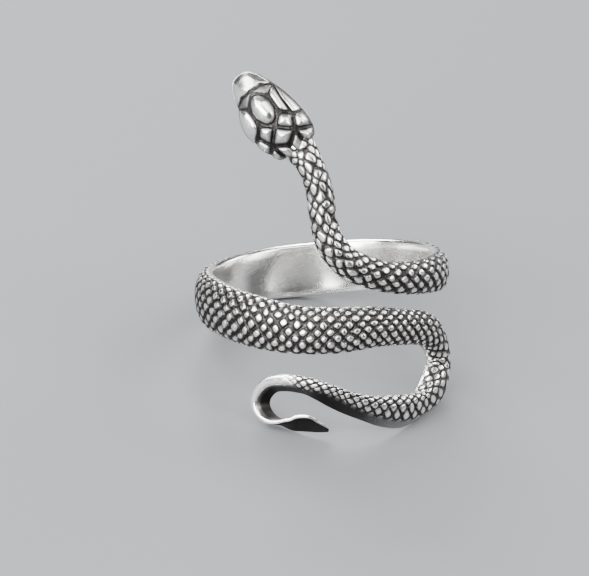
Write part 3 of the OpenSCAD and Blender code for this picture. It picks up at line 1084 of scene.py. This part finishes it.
class NodeSheet:
    """A node tree being drawn up, with short calls for the nodes that the finish uses."""

    def __init__(self, tree: bpy.types.NodeTree) -> None:
        """Starts on an empty tree."""
        self.tree = tree

    def add(self, kind: str, **settings: object) -> bpy.types.Node:
        """Adds a node.

        Args:
            kind: The node's type.
            settings: Its properties, by name.

        Returns:
            The new node.
        """
        node = self.tree.nodes.new(kind)
        for name, value in settings.items():
            setattr(node, name, value)
        return node

    def feed(self, socket: bpy.types.NodeSocket, value: object) -> None:
        """Links an output to the socket, or sets the socket's own value.

        Args:
            socket: The input.
            value: The output or the value.
        """
        if isinstance(value, bpy.types.NodeSocket):
            self.tree.links.new(value, socket)
        else:
            socket.default_value = value

    def math(self, operation: str, *values: object) -> bpy.types.NodeSocket:
        """A sum, product or other plain arithmetic.

        Args:
            operation: Which one.
            values: Its terms, each an output or a number.

        Returns:
            The result.
        """
        node = self.add("ShaderNodeMath", operation=operation)
        for socket, value in zip(node.inputs, values):
            self.feed(socket, value)
        return node.outputs[0]

    def ease(self, value: object, low: float = 0.0, high: float = 1.0, to_low: float = 0.0,
             to_high: float = 1.0, smooth: bool = True) -> bpy.types.NodeSocket:
        """A value eased between two limits, or led straight from one to the other.

        Args:
            value: What is eased.
            low: Where the easing starts.
            high: Where it ends.
            to_low: The result at low.
            to_high: The result at high.
            smooth: False for a straight line.

        Returns:
            The result.
        """
        node = self.add("ShaderNodeMapRange", interpolation_type="SMOOTHSTEP" if smooth else "LINEAR")
        for name, number in (("From Min", low), ("From Max", high), ("To Min", to_low),
                             ("To Max", to_high)):
            node.inputs[name].default_value = number
        self.feed(node.inputs["Value"], value)
        return node.outputs["Result"]

    def noise(self, vector: object, scale: float, detail: float, roughness: float = 0.5,
              distortion: float = 0.0) -> bpy.types.NodeSocket:
        """Noise from 0 to 1.

        Args:
            vector: Where it is read.
            scale: Features per metre.
            detail: Number of finer layers.
            roughness: Share of the finer layers.
            distortion: How much it is warped.

        Returns:
            The noise.
        """
        node = self.add("ShaderNodeTexNoise")
        for name, number in (("Scale", scale), ("Detail", detail), ("Roughness", roughness),
                             ("Distortion", distortion)):
            node.inputs[name].default_value = number
        self.feed(node.inputs["Vector"], vector)
        return node.outputs["Fac"]

    def mix(self, factor: object, first: object, second: object) -> bpy.types.NodeSocket:
        """A colour between two colours.

        Args:
            factor: Share of the second colour.
            first: The first colour.
            second: The second colour.

        Returns:
            The colour.
        """
        node = self.add("ShaderNodeMix", data_type="RGBA")
        self.feed(node.inputs["Factor"], factor)
        self.feed(node.inputs[6], first)
        self.feed(node.inputs[7], second)
        return node.outputs[2]


@dataclass(frozen=True)
class GroupPlan:
    """The sockets of a shader node group."""

    name: str
    inputs: tuple[tuple[str, str, float], ...]
    outputs: tuple[tuple[str, str], ...]

    def start(self) -> tuple[bpy.types.NodeTree, NodeSheet, bpy.types.Node, bpy.types.Node]:
        """Makes the empty group.

        Returns:
            The group, a sheet on it, its input node and its output node.
        """
        tree = bpy.data.node_groups.new(self.name, "ShaderNodeTree")
        for name, kind, value in self.inputs:
            socket = tree.interface.new_socket(name, in_out="INPUT", socket_type=kind)
            socket.default_value = value
        for name, kind in self.outputs:
            tree.interface.new_socket(name, in_out="OUTPUT", socket_type=kind)
        sheet = NodeSheet(tree)
        return tree, sheet, sheet.add("NodeGroupInput"), sheet.add("NodeGroupOutput")


def oxide_group() -> bpy.types.NodeTree:
    """Makes the blackening that stays in the grooves, and the painted shade carried by the same mask,
    ragged at its edge.

    Returns:
        The node group.
    """
    plan = GroupPlan("groove oxide",
                     (("Groove", "NodeSocketFloat", 0.0), ("Raggedness", "NodeSocketFloat", 0.25),
                      ("Stain", "NodeSocketFloat", 0.0)),
                     (("Mask", "NodeSocketFloat"),))
    tree, sheet, given, result = plan.start()
    place = sheet.add("ShaderNodeTexCoord").outputs["Object"]
    fine = sheet.noise(place, scale=9000.0, detail=3.0, roughness=0.6)
    broad = sheet.noise(place, scale=900.0, detail=2.0)
    ragged = sheet.math("MULTIPLY", sheet.math("SUBTRACT", fine, 0.5), given.outputs["Raggedness"])
    shifted = sheet.math("ADD", given.outputs["Groove"], sheet.math("MULTIPLY", ragged, 2.0))
    in_groove = sheet.ease(shifted, smooth=False)
    film = sheet.math("MULTIPLY", sheet.ease(broad, low=0.45, high=0.75), given.outputs["Stain"])
    sheet.feed(result.inputs["Mask"], sheet.math("MAXIMUM", in_groove, film))
    return tree


def polish_group() -> bpy.types.NodeTree:
    """Makes the fine marks that polishing leaves: hairlines and a faint unevenness of the gloss.

    Returns:
        The node group.
    """
    plan = GroupPlan("polishing marks",
                     (("Hairlines", "NodeSocketFloat", 0.5), ("Haze", "NodeSocketFloat", 0.5)),
                     (("Height", "NodeSocketFloat"), ("Dulling", "NodeSocketFloat")))
    tree, sheet, given, result = plan.start()
    place = sheet.add("ShaderNodeTexCoord").outputs["Object"]
    stretch = sheet.add("ShaderNodeMapping")
    stretch.inputs["Scale"].default_value = (1.0, 1.0, 9.0)
    stretch.inputs["Rotation"].default_value = (0.5, 0.3, 0.0)
    sheet.feed(stretch.inputs["Vector"], place)
    hair = sheet.noise(stretch.outputs["Vector"], scale=4200.0, detail=2.0, roughness=0.6,
                       distortion=0.3)
    dents = sheet.math("MULTIPLY", sheet.noise(place, scale=1300.0, detail=2.0), 0.3)
    lines = sheet.math("MULTIPLY", hair, given.outputs["Hairlines"])
    sheet.feed(result.inputs["Height"], sheet.math("ADD", lines, dents))
    cloud = sheet.noise(place, scale=2400.0, detail=4.0, roughness=0.65)
    haze = sheet.ease(cloud, low=0.35, high=0.75)
    sheet.feed(result.inputs["Dulling"], sheet.math("MULTIPLY", haze, given.outputs["Haze"]))
    return tree


@dataclass(frozen=True)
class OxidisedSilver:
    """Cast silver, blackened all over and then polished back on its high spots."""

    name: str = "oxidised silver"
    silver: tuple[float, float, float, float] = (0.90, 0.89, 0.87, 1.0)
    oxide: tuple[float, float, float, float] = (0.020, 0.018, 0.018, 1.0)
    silver_roughness: float = 0.20
    oxide_roughness: float = 0.42
    inside_roughness: float = 0.18
    raggedness: float = 0.25
    stain: float = 0.06
    haze: float = 0.08
    inside_haze: float = 0.2
    hairlines: float = 0.4
    hairline_depth: float = 0.004 * MM
    bump: float = 0.35
    inside_bump: float = 0.06

    def build(self) -> bpy.types.Material:
        """Makes the material.

        Returns:
            The new material.
        """
        material = bpy.data.materials.new(self.name)
        material.use_nodes = True
        material.node_tree.nodes.clear()
        sheet = NodeSheet(material.node_tree)
        oxide = sheet.add("ShaderNodeGroup", node_tree=oxide_group())
        polish = sheet.add("ShaderNodeGroup", node_tree=polish_group())
        groove = sheet.add("ShaderNodeAttribute", attribute_name=OXIDE_AND_SHADE).outputs["Fac"]
        inside = sheet.add("ShaderNodeAttribute", attribute_name=INSIDE).outputs["Fac"]
        sheet.feed(oxide.inputs["Groove"], groove)
        sheet.feed(oxide.inputs["Raggedness"], self.raggedness)
        sheet.feed(polish.inputs["Hairlines"], self.hairlines)
        sheet.feed(polish.inputs["Haze"], self.haze)
        sheet.feed(oxide.inputs["Stain"], sheet.ease(inside, to_low=self.stain, to_high=0.0))
        # The mask darkens the colour: oxide in the grooves, and painted shade on the tail's walls, ridge,
        # blade and in part on the head's sides
        mask = oxide.outputs["Mask"]
        colour = sheet.mix(mask, self.silver, self.oxide)
        kept_haze = sheet.ease(inside, to_low=1.0, to_high=self.inside_haze)
        dulling = sheet.math("MULTIPLY", polish.outputs["Dulling"], kept_haze)
        gloss = sheet.ease(inside, to_low=self.silver_roughness, to_high=self.inside_roughness)
        bare = sheet.math("ADD", dulling, gloss)
        lift = sheet.math("MULTIPLY", mask, self.oxide_roughness - self.silver_roughness)
        kept_marks = sheet.ease(inside, to_low=1.0, to_high=self.inside_bump)
        marks = sheet.math("MULTIPLY", polish.outputs["Height"], kept_marks)
        bump = sheet.add("ShaderNodeBump")
        sheet.feed(bump.inputs["Strength"], self.bump)
        sheet.feed(bump.inputs["Distance"], self.hairline_depth)
        sheet.feed(bump.inputs["Height"], marks)
        shader = sheet.add("ShaderNodeBsdfPrincipled")
        sheet.feed(shader.inputs["Metallic"], 1.0)
        sheet.feed(shader.inputs["Base Color"], colour)
        sheet.feed(shader.inputs["Roughness"], sheet.math("ADD", bare, lift))
        sheet.feed(shader.inputs["Normal"], bump.outputs["Normal"])
        output = sheet.add("ShaderNodeOutputMaterial")
        sheet.feed(output.inputs["Surface"], shader.outputs["BSDF"])
        return material


@dataclass
class PhotoView:
    """The camera, which looks at the ring from the front and a little above its hole's mouth."""

    finger: Finger
    look_down: float = 9.0
    distance: float = 260.0
    right_of_axis: float = -2.18
    above_axis: float = -0.64
    lens: float = 200.0
    clip: tuple[float, float] = (0.01, 10.0)

    def build(self) -> bpy.types.Object:
        """Makes the camera and hands it to the scene.

        Returns:
            The camera.
        """
        tip = math.radians(self.look_down)
        ahead = np.array([0.0, math.cos(tip), -math.sin(tip)])
        up = np.array([0.0, math.sin(tip), math.cos(tip)])
        right = np.array([1.0, 0.0, 0.0])
        spot = -self.distance * ahead + self.right_of_axis * right + self.above_axis * up
        to_row = self.finger.to_row()
        turn = Matrix(np.stack([to_row @ right, to_row @ up, -(to_row @ ahead)], axis=1).tolist())
        data = bpy.data.cameras.new("photo_view")
        data.lens = self.lens
        data.clip_start, data.clip_end = self.clip
        camera = add_object("photo_view", data)
        camera.matrix_world = Matrix.Translation(Vector((to_row @ spot * MM).tolist())) @ turn.to_4x4()
        bpy.context.scene.camera = camera
        return camera


@dataclass(frozen=True)
class SoftBox:
    """A soft light: where it stands and its size, in metres, and its strength."""

    name: str
    spot: tuple[float, float, float]
    size: tuple[float, float]
    watts: float

    def build(self, target: Vector) -> bpy.types.Object:
        """Makes the light.

        Args:
            target: Where it is aimed.

        Returns:
            The light.
        """
        data = bpy.data.lights.new(self.name, "AREA")
        data.shape = "RECTANGLE"
        data.size, data.size_y = self.size
        data.energy = self.watts
        lamp = add_object(self.name, data)
        lamp.location = self.spot
        lamp.rotation_euler = (target - lamp.location).to_track_quat("-Z", "Y").to_euler()
        return lamp


@dataclass
class Studio:
    """A pale table, its size in metres, and soft lights."""

    floor_size: float = 4.0
    floor_tone: tuple[float, float, float, float] = (0.125, 0.129, 0.136, 1.0)
    floor_roughness: float = 0.75
    surround: tuple[float, float, float, float] = (0.032, 0.034, 0.037, 1.0)
    lamps: tuple[SoftBox, ...] = (
        SoftBox("key_box", (-0.16, 0.34, 0.26), (0.30, 0.20), 4.8),
        SoftBox("front_box", (-0.20, -0.46, 0.25), (0.48, 0.34), 8.8),
        SoftBox("top_box", (-0.24, -0.18, 0.44), (0.50, 0.36), 5.0),
        SoftBox("crown_box", (0.20, -0.12, 0.54), (0.50, 0.26), 2.4),
        SoftBox("side_box", (0.44, -0.12, 0.28), (0.24, 0.28), 2.4),
        SoftBox("rim_box", (0.36, 0.32, 0.26), (0.34, 0.26), 3.6),
        SoftBox("left_box", (-0.50, -0.30, 0.20), (0.18, 0.24), 2.6),
    )

    def floor(self) -> bpy.types.Object:
        """Makes the table top, level with the ring's lowest point.

        Returns:
            The table top.
        """
        low = CAD_BOX[0][2]
        half = self.floor_size / 2
        mesh = bpy.data.meshes.new("table_top")
        corners = [(-half, -half, low), (half, -half, low), (half, half, low), (-half, half, low)]
        mesh.from_pydata(corners, [], [(0, 1, 2, 3)])
        material = bpy.data.materials.new("pale table")
        material.use_nodes = True
        shader = material.node_tree.nodes["Principled BSDF"]
        shader.inputs["Base Color"].default_value = self.floor_tone
        shader.inputs["Roughness"].default_value = self.floor_roughness
        mesh.materials.append(material)
        table = add_object("table_top", mesh)
        return table

    def world(self) -> None:
        """Sets the even light from all round."""
        world = bpy.data.worlds.new("surround")
        world.use_nodes = True
        world.node_tree.nodes["Background"].inputs["Color"].default_value = self.surround
        bpy.context.scene.world = world

    def build(self) -> None:
        """Makes the table, the lights and the surround."""
        self.floor()
        self.world()
        low, high = CAD_BOX
        for lamp in self.lamps:
            lamp.build((low + high) / 2)


def main() -> None:
    """Builds the ring, the view and the studio."""
    logging.basicConfig(level=logging.INFO, format="%(name)s: %(message)s")
    finger = Finger()
    silver = OxidisedSilver().build()
    PhotoView(finger).build()
    SnakeBody(finger).build(silver)
    SnakeHead(finger).build(silver)
    Studio().build()


if __name__ == "__main__":
    main()
